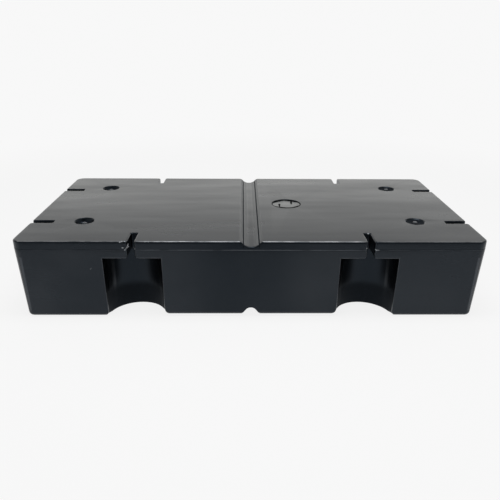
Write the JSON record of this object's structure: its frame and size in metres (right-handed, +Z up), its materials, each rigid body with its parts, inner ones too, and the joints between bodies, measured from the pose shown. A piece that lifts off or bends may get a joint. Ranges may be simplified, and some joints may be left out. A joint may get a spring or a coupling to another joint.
{
  "type": "dock float drum",
  "caption": "Low rectangular foam-filled float drum for a dock, with open bolt slots over half-round pockets in its sides and a groove across deck and base.",
  "frame": {"origin": "under the middle of the drum, on the ground that it stands on", "axes": "+X along the drum's longer side, +Y across it towards the back, +Z up out of the deck"},
  "size_m": [1.219, 0.61, 0.221],
  "materials": {
    "drum_polyethylene": "semi-gloss moulded black polyethylene, slightly wavy",
    "port_disc_polyethylene": "semi-gloss black polyethylene with a hand-made weld round it",
    "vent_plug_plastic": "smooth black moulded plug"
  },
  "bodies": {
    "root": {"drum_shell": "drum_polyethylene", "fill_port_disc": "port_disc_polyethylene", "vent_plug_front_left": "vent_plug_plastic", "vent_plug_front_right": "vent_plug_plastic", "vent_plug_back_left": "vent_plug_plastic", "vent_plug_back_right": "vent_plug_plastic"}
  },
  "joints": []
}
